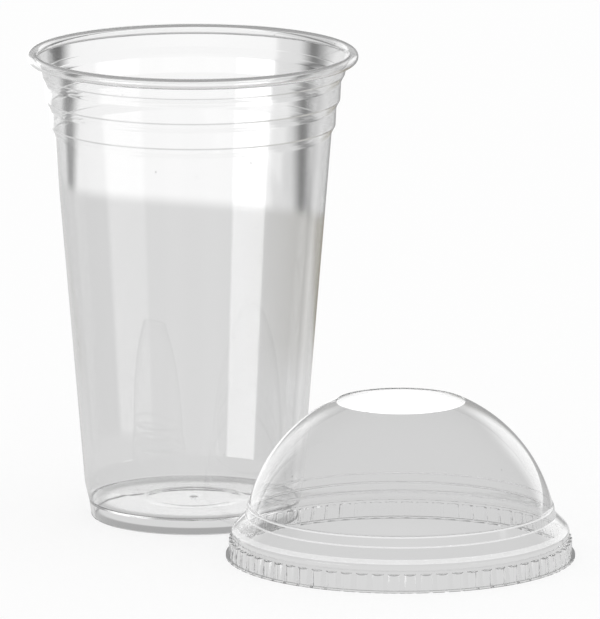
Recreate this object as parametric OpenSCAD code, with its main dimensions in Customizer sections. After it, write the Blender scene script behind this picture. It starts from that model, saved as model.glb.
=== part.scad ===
// Clear cold-drink cup with a domed lid, the lid taken off and set down beside the cup.
// Both are formed from clear plastic sheet. The cup has a curled rim, stacking ledges under it and a
// raised floor on a pinched foot. The lid has a pocket that snaps over the curl, a crimped skirt with
// a lip to pull it off by, and a dome with a round hole for a straw or spoon.

/* [Cup] */
// Outer diameter of the curled rim
rim_d = 98; // [90:0.5:106]
// Height from the foot to the top of the rim
cup_h = 140; // [110:1:180]
// Thickness of the cup's sheet
cup_wall = 0.45; // [0.3:0.05:0.7]
// Outside diameter of the rim's curl
curl_d = 3.2; // [2.6:0.1:3.8]
// Angle that the curl turns through from the upright
curl_turn = 260; // [200:5:270]

/* [Stacking ledges] */
// How far the neck draws in from the curl down to the first ledge
neck_draw = 1.2; // [0.4:0.05:2]
// Depth of the first ledge below the top of the rim
ledge_drop = 6.6; // [5.5:0.1:12]
// Distance from one ledge to the next
ledge_pitch = 7.7; // [6:0.05:12]
// Number of ledges
ledge_count = 3; // [1:1:5]
// How far each ledge steps in
ledge_step = 1.15; // [0.6:0.05:1.8]
// Height of each ledge's slope
ledge_fall = 2.1; // [1.2:0.1:4]
// How far the band between two ledges draws in
band_draw = 0.25; // [0:0.05:0.6]

/* [Cup base] */
// Diameter of the cup at its floor
base_d = 62.4; // [54:0.2:70]
// Height of the floor's top face above the foot
floor_h = 4.9; // [3:0.1:7]
// Thickness of the floor
floor_t = 0.55; // [0.4:0.05:1]
// Height of the heel, where the straight wall starts
heel_h = 9.5; // [8:0.5:16]
// How far the heel stands out beyond the floor
heel_out = 1.2; // [0.6:0.1:2]
// How far the foot draws in below the floor
foot_in = 0.6; // [0:0.1:1.2]
// Thickness of the pinched foot, two layers of sheet
foot_wall = 0.95; // [0.7:0.05:1.4]
// Radius of the foot's lower corner
foot_round = 0.6; // [0.2:0.1:0.6]
// Diameter of the raised panel in the floor
panel_d = 30; // [16:1:44]
// Rise of the panel
panel_rise = 0.2; // [0.1:0.05:1]
// Width of the panel's sloping edge
panel_edge = 2; // [0.4:0.1:4]
// Diameter of the nub in the middle of the floor
nub_d = 3; // [2:0.5:6]
// Rise of the nub
nub_rise = 0.3; // [0.1:0.1:0.8]

/* [Lid] */
// Thickness of the lid's sheet
lid_wall = 0.4; // [0.3:0.05:0.6]
// Clearance between the curl and the lid's pocket
lid_clear = 0.15; // [0.05:0.05:0.4]
// Height of the seated curl's centre above the bottom of the lid
seat_h = 7.2; // [6.5:0.1:10]
// Angle that the pocket wraps under the curl to snap on
snap_turn = 35; // [20:1:45]
// Slope of the shoulder between the pocket and the collar
shoulder_tilt = 45; // [35:1:55]
// How far the foot of the collar lies inside the rim's outer edge
collar_in = 3.6; // [3:0.1:6]
// Height of the collar
collar_h = 2.9; // [1.5:0.1:5]
// How far the collar draws in towards its top
collar_draw = 0.4; // [0:0.1:1]
// Width of the little ledge between the collar and the dome
dome_ledge = 0.5; // [0.2:0.1:1]
// Height of the dome from the collar to the hole
dome_h = 30.5; // [20:0.5:40]
// Diameter of the hole in the dome
hole_d = 38; // [12:1:50]

/* [Lid skirt] */
// How far the skirt flares out towards its foot
skirt_flare = 1.05; // [0.6:0.05:1.8]
// Width of the lip beyond the skirt
lip_w = 1; // [0.6:0.1:3]
// Thickness of the lip
lip_t = 0.6; // [0.4:0.1:1]
// Number of crimp ribs around the skirt
rib_count = 66; // [24:1:72]
// Width of each rib
rib_w = 2.2; // [1.4:0.1:2.6]
// Height of the top of the ribs above the bottom of the lid
rib_h = 5.3; // [3:0.1:5.5]
// How far the ribs stand out beyond the foot of the skirt
rib_out = 0.1; // [0.05:0.05:0.4]

/* [Set-down lid] */
// Clear gap between the lid's lip and the cup's base
lid_gap = 1.2; // [0.5:0.1:40]
// Direction of the lid from the cup, turned from the right towards the front
lid_bearing = 43; // [0:1:180]

/* [Hidden] */
$fn = 128;
// Step of the arcs in the profiles, in degrees
arc_step = 10;
// Overlap of a cut past the face that it opens
cut = 1;

rim_r = rim_d / 2;
curl_r = curl_d / 2;
curl_centre = [rim_r - curl_r, cup_h - curl_r];
base_r = base_d / 2;
foot_r = base_r - foot_in;
heel_r = base_r + heel_out;

// Radius of the wall's outer face at the first ledge, below the neck that runs up into the curl
ledge_r = rim_r - curl_d + cup_wall - neck_draw;
// Angle round the curl's centre at which the neck runs into the curl without a kink
neck_way = [ledge_r, cup_h - ledge_drop] - curl_centre;
neck_angle = 360 + atan2(neck_way[1], neck_way[0]) - acos((curl_r - cup_wall) / norm(neck_way));

// The lid seated on the rim sets the lid's radii, with the curl's centre at seat_h
seat = [curl_centre[0], seat_h];
pocket_r = curl_r + lid_clear + lid_wall;
snap = polar(seat, pocket_r, -snap_turn);
shoulder = polar(seat, pocket_r, shoulder_tilt);
skirt_r = snap[0] + skirt_flare;
lip_r = skirt_r + lip_w;
rib_r = skirt_r + rib_out;
collar_r = rim_r - collar_in;
collar_z = shoulder[1] + (shoulder[0] - collar_r) / tan(shoulder_tilt);
dome_base = [collar_r - collar_draw - dome_ledge, collar_z + collar_h + dome_ledge];
hole_r = hole_d / 2;
dome_top = [hole_r, dome_base[1] + dome_h];
// Centre height and radius of the sphere through the dome's base and the edge of the hole
dome_centre = (dome_top * dome_top - dome_base * dome_base) / (2 * dome_h);
dome_r = norm(dome_base - [0, dome_centre]);
lid_away = base_r + lip_r + lid_gap;

function unit(v) = v / norm(v);
function polar(centre, r, angle) = centre + r * [cos(angle), sin(angle)];
function reversed(path) = [for (i = [len(path) - 1 : -1 : 0]) path[i]];
// Points of an arc from one angle to another, both ends included
function arc(centre, r, from, to) =
    let (steps = ceil(abs(to - from) / arc_step))
    [for (i = [0 : steps]) polar(centre, r, from + (to - from) * i / steps)];
// Unit normal on the left of the way from one point to the next
function left_of(from, to) = let (way = unit(to - from)) [-way[1], way[0]];
// A path moved to its left by one thickness of sheet, with mitred corners
function inset(path, t) =
    let (last = len(path) - 1)
    [for (i = [0 : last])
        let (before = left_of(path[max(i - 1, 0)], path[max(i, 1)]),
             after = left_of(path[min(i, last - 1)], path[min(i + 1, last)]))
        path[i] + (before + after) * t / (1 + before * after)];

// Outer face of the cup's wall from the floor up over the heel and the ledges, then round the curl
function cup_path() = concat(
    [[base_r, floor_h], [heel_r, heel_h]],
    [for (i = [ledge_count - 1 : -1 : 0])
        let (top_r = ledge_r - i * (ledge_step + band_draw),
             top_z = cup_h - ledge_drop - i * ledge_pitch)
        each [[top_r - ledge_step, top_z - ledge_fall], [top_r, top_z]]],
    arc(curl_centre, curl_r - cup_wall, neck_angle, 180 - curl_turn));

// Underside of the floor and the foot, from the axis out to the foot's corner
function cup_underside() =
    let (under = floor_h - floor_t)
    concat(
        [[0, under + panel_rise], [panel_d / 2 - panel_edge, under + panel_rise], [panel_d / 2, under],
         [base_r - foot_wall, under], [foot_r - foot_wall, 0]],
        arc([foot_r - foot_round, foot_round], foot_round, -90, 0));

// Top of the floor, from the wall in to the axis
function cup_floor() =
    let (panel_z = floor_h + panel_rise)
    [[panel_d / 2, floor_h], [panel_d / 2 - panel_edge, panel_z], [nub_d / 2, panel_z],
     [nub_d / 4, panel_z + nub_rise], [0, panel_z + nub_rise]];

// Outer face of the lid from the foot of the skirt up to the hole
function lid_path() = concat(
    [[skirt_r, lip_t]],
    arc(seat, pocket_r, -snap_turn, shoulder_tilt),
    [[collar_r, collar_z], [collar_r - collar_draw, collar_z + collar_h]],
    arc([0, dome_centre], dome_r, dome_angle(dome_base), dome_angle(dome_top)));
function dome_angle(point) = atan2(point[1] - dome_centre, point[0]);

// Ring of teeth out to radius r, each as wide as given, standing on the lid's floor level
module crimp_ring(r, width, from, to) {
    translate([0, 0, from])
        linear_extrude(to - from)
            for (i = [0 : rib_count - 1])
                rotate(i * 360 / rib_count)
                    translate([seat[0], -width / 2])
                        square([r - seat[0], width]);
}

module cup() {
    color("whitesmoke", 0.4)
        rotate_extrude()
            polygon(concat(
                cup_underside(),
                cup_path(),
                reversed(inset(cup_path(), cup_wall)),
                cup_floor()));
}

module dome_lid() {
    outer = concat([[0, 0], [lip_r, 0], [lip_r, lip_t]], lid_path(), [[0, dome_top[1]]]);
    inner_path = inset(lid_path(), lid_wall);
    inner = concat(
        [[0, -cut], [inner_path[0][0], -cut]],
        inner_path,
        [[0, inner_path[len(inner_path) - 1][1]]]);
    color("whitesmoke", 0.4)
        translate(lid_away * [cos(lid_bearing), -sin(lid_bearing), 0])
            difference() {
                union() {
                    rotate_extrude() polygon(outer);
                    crimp_ring(rib_r, rib_w, lip_t / 2, rib_h);
                }
                rotate_extrude() polygon(inner);
                translate([0, 0, dome_base[1]])
                    cylinder(h = dome_h + cut, r = hole_r);
                crimp_ring(rib_r - lid_wall, rib_w - 2 * lid_wall, -cut, rib_h - lid_wall);
            }
}

cup();
dome_lid();
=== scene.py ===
from math import acos, atan2, cos, degrees, hypot, pi, radians, sin, tan

import bpy
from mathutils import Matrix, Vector


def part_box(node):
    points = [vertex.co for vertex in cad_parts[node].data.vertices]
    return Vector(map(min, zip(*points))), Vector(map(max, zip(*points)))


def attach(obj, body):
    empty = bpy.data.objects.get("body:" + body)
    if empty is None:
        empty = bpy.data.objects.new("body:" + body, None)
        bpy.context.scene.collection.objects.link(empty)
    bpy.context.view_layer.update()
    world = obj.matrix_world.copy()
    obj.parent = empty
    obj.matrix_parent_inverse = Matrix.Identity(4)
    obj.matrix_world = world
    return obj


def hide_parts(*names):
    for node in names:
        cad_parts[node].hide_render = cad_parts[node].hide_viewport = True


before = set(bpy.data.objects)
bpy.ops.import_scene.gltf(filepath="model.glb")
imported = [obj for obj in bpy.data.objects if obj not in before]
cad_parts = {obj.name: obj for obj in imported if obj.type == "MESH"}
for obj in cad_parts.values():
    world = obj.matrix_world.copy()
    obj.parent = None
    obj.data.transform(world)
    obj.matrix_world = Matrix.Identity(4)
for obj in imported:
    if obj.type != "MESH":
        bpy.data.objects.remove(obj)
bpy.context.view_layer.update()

# The cup is one sheet of clear PET, heated and drawn down into a mould. Its trimmed edge is rolled
# outwards into a hollow curl, three stacking ledges step in under it, and the straight wall tapers to a
# heel. The floor stands clear of the table on a foot that is the sheet pinched double.
mm = 0.001
cup_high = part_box("cup")[1]
rim_r = cup_high[0]
cup_h = cup_high[2]
cup_wall = 0.45 * mm
curl_r = 1.6 * mm
curl_turn = 260
curl_steps = 32
neck_draw = 1.2 * mm
ledge_drop = 6.6 * mm
ledge_pitch = 7.7 * mm
ledge_count = 3
ledge_step = 1.15 * mm
ledge_fall = 2.1 * mm
band_draw = 0.25 * mm
base_r = 31.2 * mm
floor_h = 4.9 * mm
floor_t = 0.55 * mm
heel_h = 9.5 * mm
heel_swell = 1.2 * mm
heel_r = base_r + heel_swell
foot_taper = 0.6 * mm
foot_r = base_r - foot_taper
foot_wall = 0.95 * mm
foot_round = 0.6 * mm
foot_steps = 8
panel_r = 15 * mm
panel_rise = 0.2 * mm
panel_edge = 2 * mm
nub_r = 1.5 * mm
nub_rise = 0.3 * mm
# Lengths of wall that the rounding of a bend takes up on each side
crisp_bend = 0.16 * mm
crisp_bend_inside = 0.2 * mm
soft_bend = 0.75 * mm
heel_bend = 1.6 * mm
base_bend = 0.2 * mm
floor_bend = 0.45 * mm
panel_bend = 0.8 * mm
turned_steps = 256
# Points nearer than this are taken as one, to find a corner of the section and to close a seam
same_corner = 0.01 * mm
seam_gap = 0.002 * mm


def arc(centre, radius, start, end, steps):
    """Points along an arc, with its angles in degrees."""
    turns = [radians(start + (end - start) * i / steps) for i in range(steps + 1)]
    return [(centre[0] + radius * cos(turn), centre[1] + radius * sin(turn)) for turn in turns]


def inset(path, thickness):
    """The path moved to its left by one thickness of sheet, with mitred corners."""
    moved = []
    last = len(path) - 1
    for i, point in enumerate(path):
        normals = []
        for a, b in ((max(i - 1, 0), max(i, 1)), (min(i, last - 1), min(i + 1, last))):
            way = Vector(path[b]) - Vector(path[a])
            normals.append(Vector((-way.y, way.x)).normalized())
        before, after = normals
        mitre = (before + after) * thickness / (1 + before.dot(after))
        moved.append((point[0] + mitre.x, point[1] + mitre.y))
    return moved


def trace(name, section, axis=(0, 0)):
    """A mesh of one point, extruded from point to point along a section of (radius, height)."""
    bpy.ops.object.select_all(action="DESELECT")
    bpy.ops.mesh.primitive_plane_add(size=mm)
    piece = bpy.context.object
    piece.name = name
    bpy.ops.object.mode_set(mode="EDIT")
    bpy.ops.mesh.merge(type="CENTER")
    here = Vector((0, 0, 0))
    for i, (radius, height) in enumerate(section):
        there = Vector((axis[0] + radius, axis[1], height))
        if i == 0:
            bpy.ops.transform.translate(value=there - here)
        else:
            bpy.ops.mesh.extrude_region_move(TRANSFORM_OT_translate={"value": there - here})
        here = there
    bpy.ops.object.mode_set(mode="OBJECT")
    return piece


def pick(piece, wanted):
    """Selects the vertices that are wanted, and no others, and stays in edit mode."""
    bpy.ops.object.mode_set(mode="EDIT")
    bpy.ops.mesh.select_all(action="DESELECT")
    bpy.ops.object.mode_set(mode="OBJECT")
    for vertex in piece.data.vertices:
        vertex.select = wanted(vertex)
    bpy.ops.object.mode_set(mode="EDIT")


def bend(piece, points, tangent, axis=(0, 0), steps=6):
    """Rounds the section at the given points."""
    places = [Vector((axis[0] + radius, axis[1], height)) for radius, height in points]
    pick(piece, lambda vertex: any((vertex.co - place).length < same_corner for place in places))
    bpy.ops.mesh.bevel(offset=tangent, segments=steps, affect="VERTICES")
    bpy.ops.object.mode_set(mode="OBJECT")


def turn(piece, steps, axis=(0, 0)):
    """Spins the section once round its axis, and closes the seam and the poles."""
    bpy.ops.object.mode_set(mode="EDIT")
    bpy.ops.mesh.select_all(action="SELECT")
    bpy.ops.mesh.spin(steps=steps, angle=2 * pi, center=(axis[0], axis[1], 0), axis=(0, 0, 1))
    bpy.ops.mesh.select_all(action="SELECT")
    bpy.ops.mesh.remove_doubles(threshold=seam_gap)
    bpy.ops.mesh.normals_make_consistent(inside=False)
    bpy.ops.object.mode_set(mode="OBJECT")


ledge_r = rim_r - 2 * curl_r + cup_wall - neck_draw
ledge_tops = []
ledge_feet = []
for i in reversed(range(ledge_count)):
    top = (ledge_r - i * (ledge_step + band_draw), cup_h - ledge_drop - i * ledge_pitch)
    ledge_tops.append(top)
    ledge_feet.append((top[0] - ledge_step, top[1] - ledge_fall))
cup_face = [(base_r, floor_h), (heel_r, heel_h)]
for foot, top in zip(ledge_feet, ledge_tops):
    cup_face += [foot, top]
curl_centre = (rim_r - curl_r, cup_h - curl_r)
curl_face_r = curl_r - cup_wall
neck = Vector(ledge_tops[-1]) - Vector(curl_centre)
neck_angle = 360 + degrees(atan2(neck.y, neck.x) - acos(curl_face_r / neck.length))
cup_face += arc(curl_centre, curl_face_r, neck_angle, 180 - curl_turn, curl_steps)
cup_inside = inset(cup_face, cup_wall)

under = floor_h - floor_t
panel_z = floor_h + panel_rise
cup_section = [(0, under + panel_rise), (panel_r - panel_edge, under + panel_rise), (panel_r, under),
               (base_r - foot_wall, under), (foot_r - foot_wall, 0)]
cup_section += arc((foot_r - foot_round, foot_round), foot_round, -90, 0, foot_steps)
cup_section += cup_face
cup_section += reversed(cup_inside)
cup_section += [(panel_r, floor_h), (panel_r - panel_edge, panel_z), (nub_r, panel_z),
                (nub_r / 2, panel_z + nub_rise), (0, panel_z + nub_rise)]

cup = trace("cup_shell", cup_section)
at = {point: i for i, point in enumerate(cup_face)}
bend(cup, ledge_tops, crisp_bend)
bend(cup, [cup_inside[at[top]] for top in ledge_tops], crisp_bend_inside)
bend(cup, ledge_feet + [cup_inside[at[foot]] for foot in ledge_feet], soft_bend)
bend(cup, [cup_face[1], cup_inside[1]], heel_bend)
bend(cup, [cup_face[0]], base_bend)
bend(cup, [cup_inside[0]], floor_bend)
bend(cup, [(panel_r - panel_edge, under + panel_rise), (panel_r, under),
           (panel_r - panel_edge, panel_z), (panel_r, floor_h)], panel_bend)
turn(cup, turned_steps)


def smooth(sharp_from=30):
    """Smooth shading that keeps flat faces flat and runs only through the bends between them."""
    bpy.ops.object.shade_smooth_by_angle(angle=radians(sharp_from))
    bpy.ops.object.modifier_add(type="WEIGHTED_NORMAL")
    weighted = bpy.context.object.modifiers["WeightedNormal"]
    weighted.keep_sharp = True
    bpy.ops.object.modifier_apply(modifier="WeightedNormal")


smooth()


def linear(hex_colour):
    """An sRGB hex colour as linear light."""
    parts = [int(hex_colour[i:i + 2], 16) / 255 for i in (1, 3, 5)]
    return [p / 12.92 if p <= 0.04045 else ((p + 0.055) / 1.055) ** 2.4 for p in parts] + [1]


def add_node(tree, kind, settings=None, *in_order, **named):
    """Adds a node with its settings. The rest are its inputs, as values or as sockets to link."""
    node = tree.nodes.new(kind)
    for key, value in (settings or {}).items():
        setattr(node, key, value)
    inputs = list(enumerate(in_order)) + [(key.replace("_", " "), value) for key, value in named.items()]
    for key, value in inputs:
        if isinstance(value, bpy.types.NodeSocket):
            tree.links.new(value, node.inputs[key])
        else:
            node.inputs[key].default_value = value
    return node


# Clear PET sheet, formed over a mould. It is colourless and as clear as glass, so what shows is what it
# bends and mirrors: its edges and bends turn dark or bright, its walls carry long soft reflections, and
# the draw leaves the sheet faintly wavy with a gel speck here and there.
pet = bpy.data.materials.new("clear_PET_sheet")
pet.use_nodes = True
nodes = pet.node_tree
nodes.nodes.clear()
place = add_node(nodes, "ShaderNodeTexCoord").outputs["Object"]
wave_size = 14 * mm
wave_h = 0.03 * mm
speck_gap = 9 * mm
speck_r = 0.3 * mm
speck_h = 0.1 * mm
soft = {"interpolation_type": "SMOOTHSTEP"}
waves = add_node(nodes, "ShaderNodeTexNoise", Vector=place, Scale=1 / wave_size, Detail=1.0, Roughness=0.4)
wavy = add_node(nodes, "ShaderNodeBump", Height=waves.outputs["Fac"], Strength=0.25, Distance=wave_h)
cells = add_node(nodes, "ShaderNodeTexVoronoi", Vector=place, Scale=1 / speck_gap)
speck = add_node(nodes, "ShaderNodeMapRange", soft, cells.outputs["Distance"],
                 0.0, speck_r / speck_gap, 1.0, 0.0)
specked = add_node(nodes, "ShaderNodeBump", Height=speck.outputs[0], Strength=1.0, Distance=speck_h,
                   Normal=wavy.outputs["Normal"])
sheet = add_node(nodes, "ShaderNodeBsdfPrincipled", Base_Color=linear("#FEFEFE"), Transmission_Weight=1.0,
                 Roughness=0.02, IOR=1.57, Normal=specked.outputs["Normal"])
add_node(nodes, "ShaderNodeOutputMaterial", Surface=sheet.outputs["BSDF"])
cup.data.materials.append(pet)

# PET sheet at the trimmed edge, the end of the curl. The cutter leaves it rough, so it scatters light and
# looks a little white.
cut_clear = 0.2
cut_pet = pet.copy()
cut_pet.name = "rough_cut_PET_edge"
cut_pet.node_tree.nodes["Principled BSDF"].inputs["Transmission Weight"].default_value = cut_clear
cup.data.materials.append(cut_pet)
edge = (Vector(cup_face[-1]) + Vector(cup_inside[-1])) / 2
for face in cup.data.polygons:
    from_edge = hypot(hypot(face.center.x, face.center.y) - edge.x, face.center.z - edge.y)
    face.material_index = from_edge < cup_wall / 4
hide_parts("cup")
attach(cup, "root")

# The lid is a thinner sheet of the same PET, drawn up into a dome over a short collar. The shoulder
# below holds a pocket that snaps over the cup's curl, the skirt under it is crimped into small hollow
# ribs, and a narrow lip is left at the trimmed edge to pull it off by. The hole is die-cut.
lid_low, lid_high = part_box("dome_lid")
lid_axis = ((lid_low[0] + lid_high[0]) / 2, (lid_low[1] + lid_high[1]) / 2)
lid_wall = 0.4 * mm
lip_r = (lid_high[0] - lid_low[0]) / 2
lip_w = 1 * mm
lip_t = 0.6 * mm
skirt_r = lip_r - lip_w
seat_h = 7.2 * mm
seat = (rim_r - curl_r, seat_h)
snap_gap = 0.15 * mm
pocket_r = curl_r + snap_gap + lid_wall
pocket_steps = 12
snap_turn = 35
shoulder_tilt = 45
collar_in = 3.6 * mm
collar_r = rim_r - collar_in
collar_h = 2.9 * mm
collar_draw = 0.4 * mm
dome_ledge = 0.5 * mm
dome_steps = 32
hole_r = 19 * mm
rib_count = 66
rib_h = 5.3 * mm
rib_proud = 0.1 * mm
rib_r = skirt_r + rib_proud
rib_shelf = 0.12 * mm
# How far out each of a rib's columns stands, from its middle to halfway to the next rib
rib_swell = (1, 1, 0.5, 0, 0)
columns_per_rib = 2 * (len(rib_swell) - 1)
lid_bend = 0.35 * mm
sharp_crimp = 15
# How far the painted highlight rings reach up and down from the bends that they follow
highlight_rise = 0.6 * mm
highlight_fall = 0.6 * mm
fine_highlight_ring = 0.2 * mm

pocket = arc(seat, pocket_r, -snap_turn, shoulder_tilt, pocket_steps)
snap, shoulder = pocket[0], pocket[-1]
collar_z = shoulder[1] + (shoulder[0] - collar_r) / tan(radians(shoulder_tilt))
collar_top = (collar_r - collar_draw, collar_z + collar_h)
dome_base = (collar_top[0] - dome_ledge, collar_top[1] + dome_ledge)
dome_top = (hole_r, lid_high[2])
dome_h = dome_top[1] - dome_base[1]
dome_centre = (hypot(*dome_top) ** 2 - hypot(*dome_base) ** 2) / (2 * dome_h)
dome_r = hypot(dome_base[0], dome_base[1] - dome_centre)


def dome_angle(point):
    """The angle in degrees at which the dome's arc has a point."""
    return degrees(atan2(point[1] - dome_centre, point[0]))


skirt_slope = (snap[0] - skirt_r) / (snap[1] - lip_t)
rib_rows = [(skirt_r + (z - lip_t) * skirt_slope, z) for z in (lip_t, rib_h - rib_shelf, rib_h)]
highlight_ring_top = (shoulder[0] - highlight_rise * tan(radians(shoulder_tilt)), shoulder[1] + highlight_rise)
lid_face = [(lip_r, lip_t)] + rib_rows + pocket + [highlight_ring_top, (collar_r, collar_z), collar_top]
lid_face += arc((0, dome_centre), dome_r, dome_angle(dome_base), dome_angle(dome_top), dome_steps)
lid = trace("lid_shell", lid_face, lid_axis)
bend(lid, [(collar_r, collar_z), collar_top, dome_base], lid_bend, lid_axis)
turn(lid, rib_count * columns_per_rib, lid_axis)


def on_rib(vertex, row_z, column):
    """Whether a vertex of the lid is in that row of the skirt, so many columns from a rib's middle."""
    x = vertex.co.x - lid_axis[0]
    y = vertex.co.y - lid_axis[1]
    turns = atan2(y, x) / (2 * pi) * rib_count
    from_middle = round(abs(turns - round(turns)) * columns_per_rib)
    on_row = abs(vertex.co.z - row_z) < rib_shelf / 4
    in_skirt = hypot(x, y) < skirt_r + lip_w / 2
    return on_row and in_skirt and from_middle == column


for row_r, row_z in rib_rows[:2]:
    for column, swell in enumerate(rib_swell):
        pick(lid, lambda vertex: on_rib(vertex, row_z, column))
        grown = 1 + (rib_r - row_r) * swell / row_r
        bpy.ops.transform.resize(value=(grown, grown, 1), center_override=(lid_axis[0], lid_axis[1], 0))
        bpy.ops.object.mode_set(mode="OBJECT")
bpy.ops.object.modifier_add(type="SOLIDIFY")
lid.modifiers["Solidify"].thickness = lid_wall
lid.modifiers["Solidify"].offset = -1
lid.modifiers["Solidify"].use_even_offset = True
bpy.ops.object.modifier_apply(modifier="Solidify")
# The trimmed edge is pressed flat, down to the table
pick(lid, lambda vertex: vertex.co.z < lip_t - lid_wall / 2)
bpy.ops.transform.resize(value=(1, 1, 0), center_override=(lid_axis[0], lid_axis[1], 0))
bpy.ops.object.mode_set(mode="OBJECT")
smooth(sharp_crimp)

# PET sheet made a little milky where the mould bent it tightest, so that it scatters light. These are
# painted highlights:
# a pale ring along the top of the pocket and two fine ones at the bends of the collar.
highlight_clear = 0.25
highlight_pet = pet.copy()
highlight_pet.name = "painted_highlight_PET"
highlight_pet.node_tree.nodes["Principled BSDF"].inputs["Transmission Weight"].default_value = highlight_clear
# The bands of the painted highlight rings, by height
highlight_bands = ((shoulder[1] - highlight_fall, shoulder[1] + highlight_rise),
               (collar_z - fine_highlight_ring, collar_z + fine_highlight_ring),
               (collar_top[1] - fine_highlight_ring, collar_top[1] + fine_highlight_ring))
lid.data.materials.append(pet)
lid.data.materials.append(highlight_pet)
for face in lid.data.polygons:
    face.material_index = any(low < face.center.z < high for low, high in highlight_bands)
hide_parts("dome_lid")
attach(lid, "root")

# The set is a white sweep in a white room. The eye sees the sweep as white with a faint shadow. The clear
# plastic shows on it the pale grey table that the real one stood on, which ends softly behind the cup,
# the white backdrop beyond it with a dark gap at each side, and in its reflections the room around.
sweep_size = 12
sweep_drop = 0.05 * mm
bpy.ops.object.select_all(action="DESELECT")
bpy.ops.mesh.primitive_plane_add(size=sweep_size)
sweep = bpy.context.object
sweep.name = "white_sweep"
bpy.ops.object.mode_set(mode="EDIT")
bpy.ops.transform.translate(value=(0, 0, -sweep_drop))
bpy.ops.object.mode_set(mode="OBJECT")
paper = bpy.data.materials.new("white_paper")
paper.use_nodes = True
nodes = paper.node_tree
nodes.nodes.clear()
subtract = {"operation": "SUBTRACT"}
multiply = {"operation": "MULTIPLY"}
larger = {"operation": "MAXIMUM"}
above = {"operation": "GREATER_THAN"}
below = {"operation": "LESS_THAN"}
within = {"operation": "COMPARE"}
distance = {"operation": "DISTANCE"}
rays = add_node(nodes, "ShaderNodeLightPath")
place = add_node(nodes, "ShaderNodeTexCoord").outputs["Object"]
across = add_node(nodes, "ShaderNodeSeparateXYZ", None, place)

# The table's round far edge, and a painted patch of light on it behind the lid that shows through the
# lid's hole
table_centre = (-0.197, -0.017, -sweep_drop)
table_r = 0.55
table_edge = 0.014
patch_centre = (0.064, 0.208)
patch_half = (0.027, 0.062)
patch_edge = 0.05
painted_patch_glow = 1.35
from_centre = add_node(nodes, "ShaderNodeVectorMath", distance, place, table_centre)
beyond = add_node(nodes, "ShaderNodeMapRange", soft, from_centre.outputs["Value"],
                  table_r - table_edge, table_r + table_edge)
squashed = add_node(nodes, "ShaderNodeVectorMath", multiply, place,
                    (1 / patch_half[0], 1 / patch_half[1], 0))
from_patch = add_node(nodes, "ShaderNodeVectorMath", distance, squashed.outputs[0],
                      (patch_centre[0] / patch_half[0], patch_centre[1] / patch_half[1], 0))
in_patch = add_node(nodes, "ShaderNodeMapRange", soft, from_patch.outputs["Value"],
                    1 + patch_edge, 1 - patch_edge)
patch = add_node(nodes, "ShaderNodeEmission", None, linear("#FFFFFF"), painted_patch_glow)

# The table is a little darker and warmer to the right behind the cup, and carries a painted contact shadow
# where the pieces touch it
table_glow = 0.69
dim_x = (0.014, 0.075)
dim_y = (0.17, 0.27)
contact_shadow_dark = 0.35
to_right = add_node(nodes, "ShaderNodeMapRange", None, across.outputs["X"], *dim_x)
to_back = add_node(nodes, "ShaderNodeMapRange", soft, across.outputs["Y"], *dim_y)
dim = add_node(nodes, "ShaderNodeMath", multiply, to_right.outputs[0], to_back.outputs[0])
tone = add_node(nodes, "ShaderNodeValToRGB", None, dim.outputs[0])
tone.color_ramp.elements[0].color = linear("#FFFFFF")
tone.color_ramp.elements[1].color = linear("#BCB8AD")
cup_away = add_node(nodes, "ShaderNodeVectorMath", distance, place, (0, 0, -sweep_drop))
lid_away = add_node(nodes, "ShaderNodeVectorMath", distance, place, (*lid_axis, -sweep_drop))
foot_shadow_ring = add_node(nodes, "ShaderNodeMath", within, cup_away.outputs["Value"], foot_r - foot_wall / 2,
                   foot_wall)
lip_shadow_ring = add_node(nodes, "ShaderNodeMath", within, lid_away.outputs["Value"], lip_r, lip_w)
contact_shadow = add_node(nodes, "ShaderNodeMath", larger, foot_shadow_ring.outputs[0], lip_shadow_ring.outputs[0])

# Under the cup's floor the table has a painted shadow at its front, in the hollow. Further back, where the
# clear floor shows the table, a painted pool of light lies on it and shows as a sheen at a low angle
hollow_centre = (0, 0.010, -sweep_drop)
hollow_shadow_dark = 0.72
pool_centre = (0, 0.0195, -sweep_drop)
pool_r = 0.0282
pool_edge = 0.002
painted_pool_glow = 1.35
sheen_from = 1 - sin(radians(22))
sheen_to = 1 - sin(radians(14))
under_cup = add_node(nodes, "ShaderNodeMath", below, cup_away.outputs["Value"], foot_r)
hollow_away = add_node(nodes, "ShaderNodeVectorMath", distance, place, hollow_centre)
in_hollow_shadow = add_node(nodes, "ShaderNodeMapRange", soft, hollow_away.outputs["Value"], foot_r - pool_edge,
                     foot_r, 0.0, hollow_shadow_dark)
hollow = add_node(nodes, "ShaderNodeMath", multiply, under_cup.outputs[0], in_hollow_shadow.outputs[0])
shaded = add_node(nodes, "ShaderNodeMath", larger, contact_shadow.outputs[0], hollow.outputs[0])
pool_away = add_node(nodes, "ShaderNodeVectorMath", distance, place, pool_centre)
in_pool = add_node(nodes, "ShaderNodeMapRange", soft, pool_away.outputs["Value"], pool_r + pool_edge,
                   pool_r - pool_edge)
glance = add_node(nodes, "ShaderNodeLayerWeight", Blend=0.5)
sheen = add_node(nodes, "ShaderNodeMapRange", soft, glance.outputs["Facing"], sheen_from, sheen_to)
pool = add_node(nodes, "ShaderNodeMath", multiply, in_pool.outputs[0], sheen.outputs[0])
shade = add_node(nodes, "ShaderNodeMapRange", None, shaded.outputs[0], 0, 1, table_glow,
                 table_glow * contact_shadow_dark)
lit = add_node(nodes, "ShaderNodeMapRange", None, pool.outputs[0], 0, 1, shade.outputs[0], painted_pool_glow)
table = add_node(nodes, "ShaderNodeEmission", None, tone.outputs["Color"], lit.outputs[0])


def set_ramp(ramp, stops, low, high, peak=1):
    """Sets a colour ramp's stops, given as (place, glow), in greys from 0 to the peak."""
    for i, (spot, glow) in enumerate(stops):
        position = (spot - low) / (high - low)
        stop = ramp.elements[i] if i < 2 else ramp.elements.new(position)
        stop.position = position
        stop.color = (glow / peak, glow / peak, glow / peak, 1)


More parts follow.
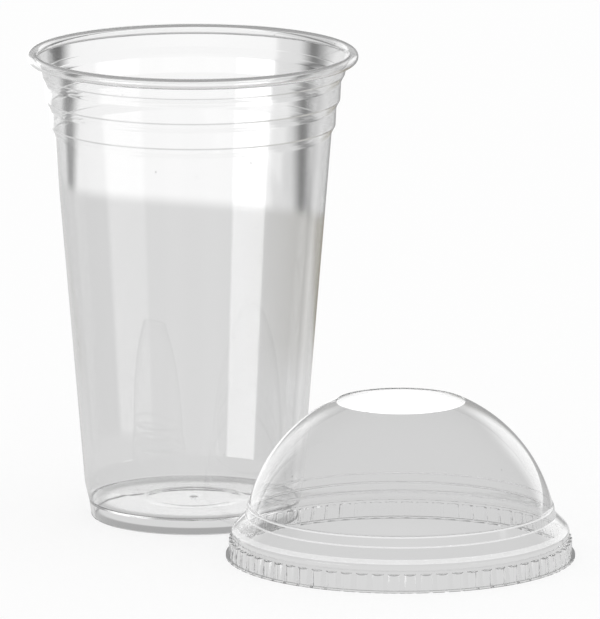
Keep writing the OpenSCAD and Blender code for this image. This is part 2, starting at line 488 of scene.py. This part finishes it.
# Places across the backdrop, in metres from the cup's axis, and how bright it is there
backdrop_half = 0.15
backdrop = ((-0.150, 0.85), (-0.077, 0.85), (-0.070, 0.12), (-0.0645, 0.12), (-0.058, 1.0), (0.0245, 1.0),
            (0.0265, 0.80), (0.0355, 0.78), (0.041, 0.2), (0.0432, 0.2), (0.0515, 0.72), (0.150, 0.72))
along = add_node(nodes, "ShaderNodeMapRange", None, across.outputs["X"], -backdrop_half, backdrop_half)
gaps = add_node(nodes, "ShaderNodeValToRGB", None, along.outputs[0])
set_ramp(gaps.color_ramp, backdrop, -backdrop_half, backdrop_half)
behind = add_node(nodes, "ShaderNodeEmission", None, gaps.outputs["Color"], 1.0)

# A mirrored ray sees the room past the table, and in the table's polish where it meets it at a low angle.
# Counts of bounces and of faces passed are compared halfway between two whole numbers
one_bounce = 0.5
two_faces = 2.5
polish_from = 1 - sin(radians(10))
polish_to = 1 - sin(radians(7))
polish_starts = (0.12, 0.18)
bounced = add_node(nodes, "ShaderNodeMath", above, rays.outputs["Glossy Depth"], one_bounce)
polish = add_node(nodes, "ShaderNodeMapRange", soft, glance.outputs["Facing"], polish_from, polish_to)
clear_of_lid = add_node(nodes, "ShaderNodeMapRange", soft, lid_away.outputs["Value"], *polish_starts)
polished = add_node(nodes, "ShaderNodeMath", multiply, polish.outputs[0], clear_of_lid.outputs[0])
mirrored = add_node(nodes, "ShaderNodeMath", multiply, bounced.outputs[0], polished.outputs[0])
open_room = add_node(nodes, "ShaderNodeBsdfTransparent").outputs[0]
outside = add_node(nodes, "ShaderNodeMixShader", None, bounced.outputs[0], behind.outputs[0], open_room)

# The painted patch of light shows to a straight ray that has passed one sheet, the lid's back wall behind
# its hole
straight = add_node(nodes, "ShaderNodeMath", subtract, 1.0, bounced.outputs[0])
one_sheet = add_node(nodes, "ShaderNodeMath", below, rays.outputs["Transmission Depth"], two_faces)
at_patch = add_node(nodes, "ShaderNodeMath", multiply, in_patch.outputs[0], straight.outputs[0])
through_hole = add_node(nodes, "ShaderNodeMath", multiply, at_patch.outputs[0], one_sheet.outputs[0])
near = add_node(nodes, "ShaderNodeMixShader", None, through_hole.outputs[0], table.outputs[0],
                patch.outputs[0])
far = add_node(nodes, "ShaderNodeMixShader", None, beyond.outputs[0], near.outputs[0], outside.outputs[0])
shown = add_node(nodes, "ShaderNodeMixShader", None, mirrored.outputs[0], far.outputs[0], open_room)

# White paper as the eye sees it. Most of its white is its own, and the rest takes the pieces' shadow
own_white = 0.8
matt = add_node(nodes, "ShaderNodeBsdfDiffuse", None, linear("#FEFEFE"))
glow = add_node(nodes, "ShaderNodeEmission", None, linear("#FFFFFF"), 1.0)
white = add_node(nodes, "ShaderNodeMixShader", None, own_white, matt.outputs[0], glow.outputs[0])
direct = add_node(nodes, "ShaderNodeMath", larger, rays.outputs["Is Camera Ray"],
                  rays.outputs["Diffuse Depth"])
seen = add_node(nodes, "ShaderNodeMixShader", None, direct.outputs[0], shown.outputs[0], white.outputs[0])
add_node(nodes, "ShaderNodeOutputMaterial", None, seen.outputs[0])
sweep.data.materials.append(paper)

# The room looks plain white. What the plastic bends and mirrors of it is a darker ceiling over walls that
# are bright to the left and right behind the set and dark straight behind it and at the sides. In
# reflections alone it also has a low bright window on the left and a softer one on the right.
world = bpy.data.worlds.new("white_room")
bpy.context.scene.world = world
world.use_nodes = True
nodes = world.node_tree
nodes.nodes.clear()
window_glow = 3.0
ceiling_glow = 0.35
ceiling_rise = (sin(radians(17)), sin(radians(34)))
window_top = (sin(radians(-0.8)), sin(radians(0.2)))
# Bearings in degrees from the camera's side, right positive, and how bright the walls are there
walls = ((-180, 0.35), (-166, 0.35), (-158, 1.3), (-138, 1.3), (-126, 0.25), (-90, 0.3), (0, 0.6),
         (90, 0.3), (128, 0.35), (140, 1.3), (158, 1.3), (166, 0.35), (180, 0.35))
windows = ((-180, 1.3), (-138, 1.3), (-126, 0.1), (-68, 0.1), (-66, window_glow), (-36, window_glow),
           (-34, 0.9), (43, 0.9), (46, 1.6), (80, 1.6), (86, 0.4), (180, 0.4))
rays = add_node(nodes, "ShaderNodeLightPath")
way = add_node(nodes, "ShaderNodeSeparateXYZ", None,
               add_node(nodes, "ShaderNodeTexCoord").outputs["Generated"])
front = add_node(nodes, "ShaderNodeMath", multiply, way.outputs["Y"], -1.0)
bearing = add_node(nodes, "ShaderNodeMath", {"operation": "ARCTAN2"}, way.outputs["X"], front.outputs[0])
around = add_node(nodes, "ShaderNodeMapRange", None, bearing.outputs[0], -pi, pi)
wall_ramp = add_node(nodes, "ShaderNodeValToRGB", None, around.outputs[0])
set_ramp(wall_ramp.color_ramp, walls, -180, 180, window_glow)
window_ramp = add_node(nodes, "ShaderNodeValToRGB", None, around.outputs[0])
set_ramp(window_ramp.color_ramp, windows, -180, 180, window_glow)
bounced = add_node(nodes, "ShaderNodeMath", above, rays.outputs["Glossy Depth"], one_bounce)
low = add_node(nodes, "ShaderNodeMapRange", soft, way.outputs["Z"], *window_top, 1.0, 0.0)
windowed = add_node(nodes, "ShaderNodeMath", multiply, bounced.outputs[0], low.outputs[0])
plain_walls = add_node(nodes, "ShaderNodeBackground", None, wall_ramp.outputs["Color"], window_glow)
window_walls = add_node(nodes, "ShaderNodeBackground", None, window_ramp.outputs["Color"], window_glow)
wall = add_node(nodes, "ShaderNodeMixShader", None, windowed.outputs[0], plain_walls.outputs[0],
                window_walls.outputs[0])
rise = add_node(nodes, "ShaderNodeMapRange", soft, way.outputs["Z"], *ceiling_rise)
ceiling = add_node(nodes, "ShaderNodeBackground", None, linear("#FFFFFF"), ceiling_glow)
studio = add_node(nodes, "ShaderNodeMixShader", None, rise.outputs[0], wall.outputs[0], ceiling.outputs[0])
plain = add_node(nodes, "ShaderNodeBackground", None, linear("#FFFFFF"), 1.0)
direct = add_node(nodes, "ShaderNodeMath", larger, rays.outputs["Is Camera Ray"],
                  rays.outputs["Diffuse Depth"])
sky = add_node(nodes, "ShaderNodeMixShader", None, direct.outputs[0], studio.outputs[0], plain.outputs[0])
add_node(nodes, "ShaderNodeOutputWorld", None, sky.outputs[0])

# The camera stands about three metres off with a long lens, so that upright lines stay almost parallel.
# It looks down a little, over the rim and into the cup.
camera_away = 3.2
camera_tilt = radians(11.3)
camera_target = Vector((0.0317, -0.02, 0.066))
camera_lens = 630
camera_reach = 50
lens = bpy.data.cameras.new("camera")
lens.lens = camera_lens
lens.clip_end = camera_reach
camera = bpy.data.objects.new("camera", lens)
camera.location = camera_target + camera_away * Vector((0, -cos(camera_tilt), sin(camera_tilt)))
camera.rotation_euler = (pi / 2 - camera_tilt, 0, 0)
bpy.context.scene.collection.objects.link(camera)
scene = bpy.context.scene
scene.camera = camera
scene.view_settings.view_transform = "Standard"
# Light passes up to eight walls of sheet, two faces each, on its way through the lid and the cup
sheet_bounces = 40
mirror_bounces = 24
scene.cycles.max_bounces = sheet_bounces
scene.cycles.transmission_bounces = sheet_bounces
scene.cycles.glossy_bounces = mirror_bounces
